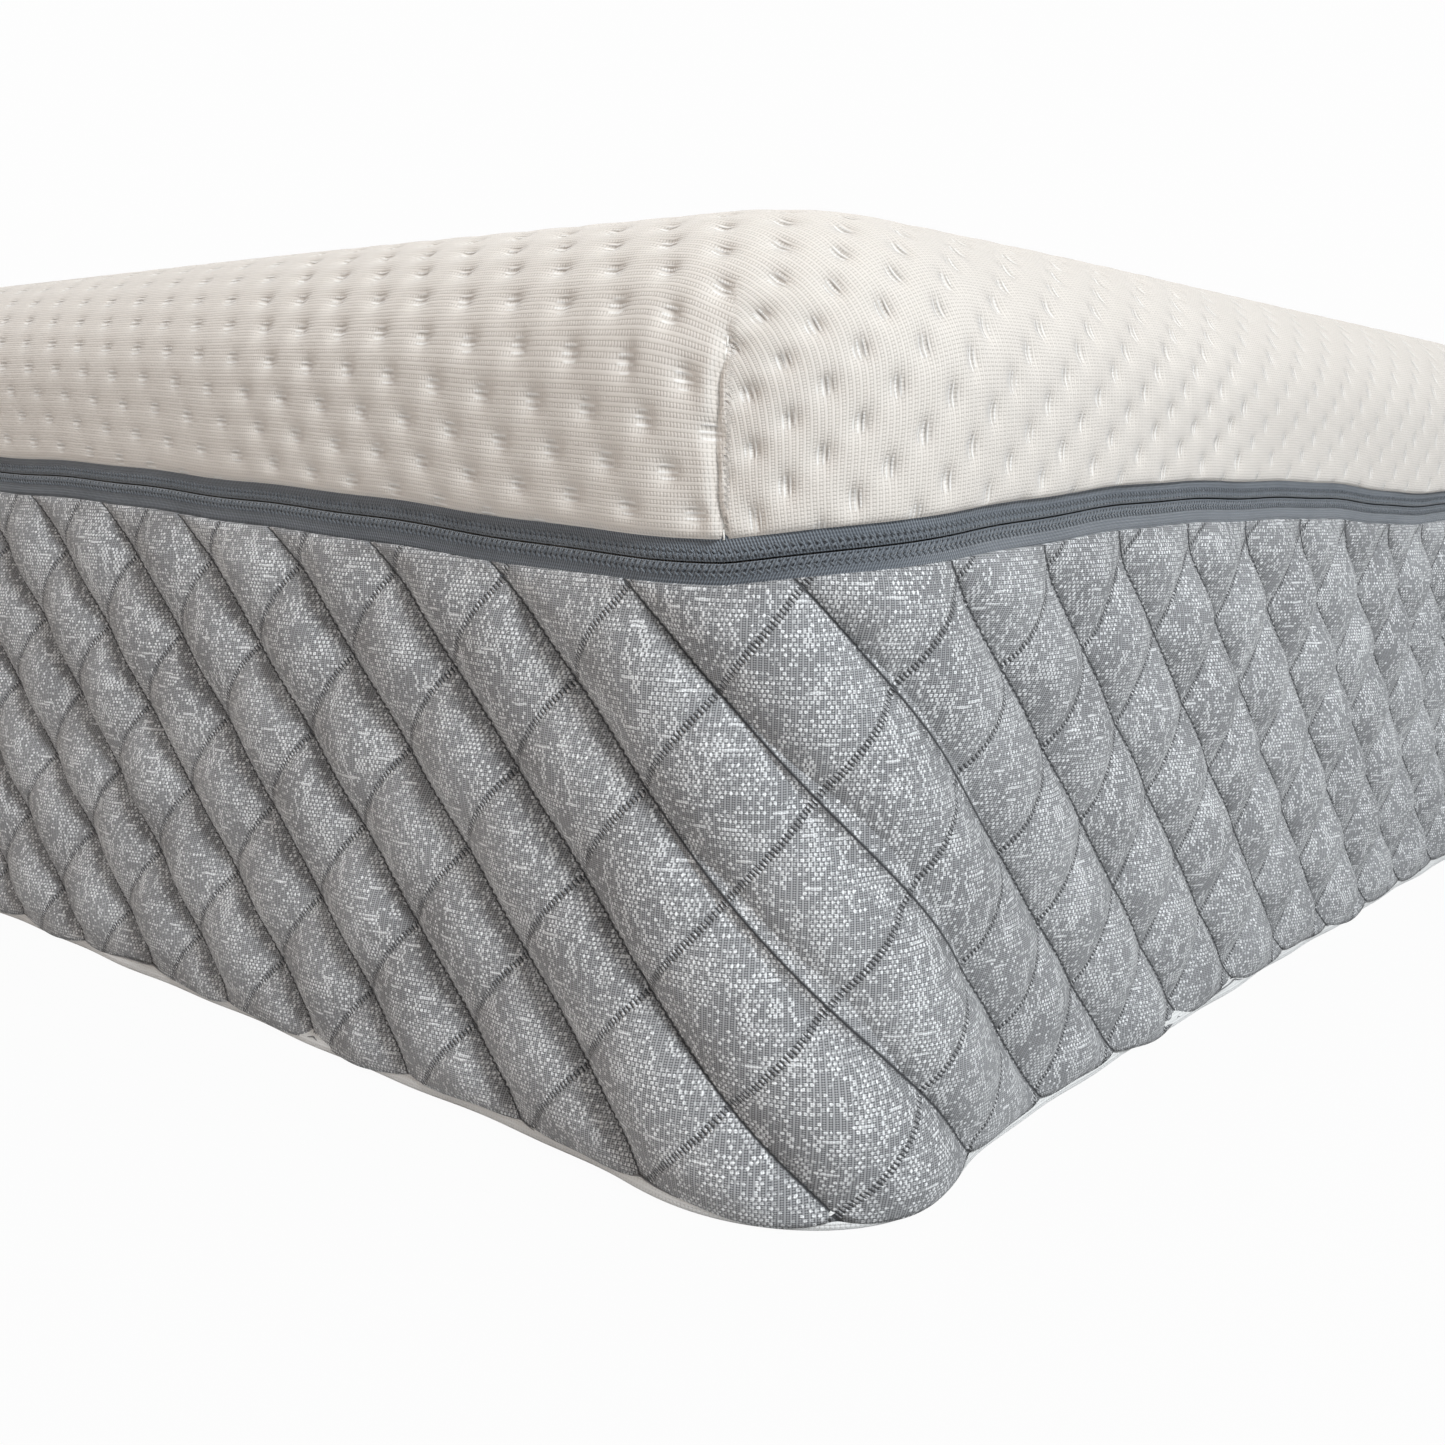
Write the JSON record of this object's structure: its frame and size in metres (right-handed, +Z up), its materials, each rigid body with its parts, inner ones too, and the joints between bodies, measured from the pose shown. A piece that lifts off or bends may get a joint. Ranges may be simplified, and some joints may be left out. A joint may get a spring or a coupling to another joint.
{
  "type": "memory foam mattress",
  "caption": "Rectangular memory foam mattress with a white zip-off knit top cover over a grey diamond-quilted side border.",
  "frame": {"origin": "middle of the underside, on the surface that the mattress rests on", "axes": "+X across the width, +Y along the length towards the head end, +Z up to the sleeping surface"},
  "size_m": [0.965, 1.905, 0.254],
  "materials": {
    "support_foam": "open-cell polyurethane foam, matt",
    "transition_foam": "open-cell polyurethane foam, matt",
    "memory_foam": "viscoelastic foam, matt",
    "barrier_knit": "plain knit",
    "barrier_cloth": "non-woven cloth",
    "border_jacquard": "two-tone jacquard knit, diamond quilted",
    "fibre_wadding": "polyester fibre",
    "backing_scrim": "non-woven cloth",
    "bottom_cloth": "plain knit",
    "dark_thread": "polyester sewing thread",
    "zipper_tape": "twill woven tape",
    "zipper_coil": "moulded polyester teeth",
    "zipper_thread": "polyester sewing thread",
    "stop_metal": "stamped",
    "cover_knit": "bubble knit",
    "cover_thread": "polyester sewing thread",
    "slider_metal": "painted die casting"
  },
  "bodies": {
    "base": {"support_foam_core": "support_foam", "transition_foam_layer": "transition_foam", "memory_foam_layer": "memory_foam", "fire_barrier_sock": "barrier_knit", "fire_barrier_base_cloth": "barrier_cloth", "border_face_cloth": "border_jacquard", "border_wadding": "fibre_wadding", "border_backing": "backing_scrim", "bottom_panel": "bottom_cloth", "bottom_seam_thread": "dark_thread", "zipper_tape_lower": "zipper_tape", "zipper_coil_lower": "zipper_coil", "tape_stitching_lower": "zipper_thread", "zipper_stop_lower": "stop_metal"},
    "top_cover": {"top_cover_knit": "cover_knit", "top_cover_wadding": "fibre_wadding", "top_cover_backing": "backing_scrim", "corner_seam_foot_right": "cover_thread", "corner_seam_foot_left": "cover_thread", "corner_seam_head_right": "cover_thread", "corner_seam_head_left": "cover_thread", "zipper_tape_upper": "zipper_tape", "zipper_coil_upper": "zipper_coil", "tape_stitching_upper": "zipper_thread", "zipper_stop_upper": "stop_metal"},
    "zip_slider": {"slider_body": "slider_metal", "slider_bail": "slider_metal"},
    "pull_tab": {"pull_tab": "slider_metal"}
  },
  "joints": [
    {"name": "cover_lift", "type": "slide", "parent": "base", "child": "top_cover", "axis": [0, 0, 1], "range_m": [0, 0.25]},
    {"name": "slider_travel", "type": "slide", "parent": "base", "child": "zip_slider", "axis": [-1, 0, 0], "range_m": [0, 0.8]},
    {"name": "pull_tab_hinge", "type": "hinge", "parent": "zip_slider", "child": "pull_tab", "pos_m": [0.405, 0.9507, 0.176], "axis": [0, 0, -1], "range_deg": [0, 170]}
  ]
}
